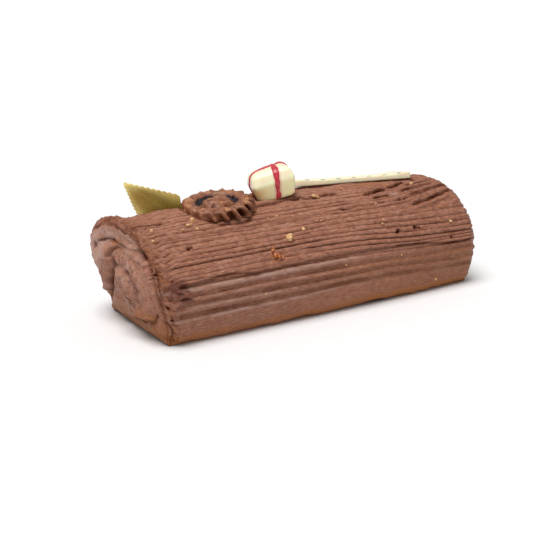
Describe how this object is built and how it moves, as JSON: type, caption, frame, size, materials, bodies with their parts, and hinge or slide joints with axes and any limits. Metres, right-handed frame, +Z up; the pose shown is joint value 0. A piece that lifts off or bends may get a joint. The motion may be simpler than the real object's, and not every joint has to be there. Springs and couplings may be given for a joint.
{
  "type": "yule log cake",
  "caption": "Roll-shaped chocolate buttercream cake with comb-marked sides, a smeared swirl at each end, and a leaf, a fluted disc, a ribboned parcel and a plaque along its crest.",
  "frame": {"origin": "centre of the flat underside", "axes": "+X along the log, +Y to its back, +Z up"},
  "size_m": [0.276, 0.1018, 0.098],
  "materials": {
    "buttercream": "soft satin chocolate buttercream, comb-marked",
    "nut": "roasted nut crumbs and caramel bits",
    "milk_chocolate": "satin milk chocolate",
    "white_chocolate": "satin white chocolate",
    "ribbon": "piped red chocolate",
    "leaf": "translucent green white chocolate"
  },
  "bodies": {
    "root": {"log": "buttercream", "leaf": "leaf", "disc": "milk_chocolate", "parcel": "white_chocolate", "plaque": "white_chocolate"}
  },
  "joints": []
}
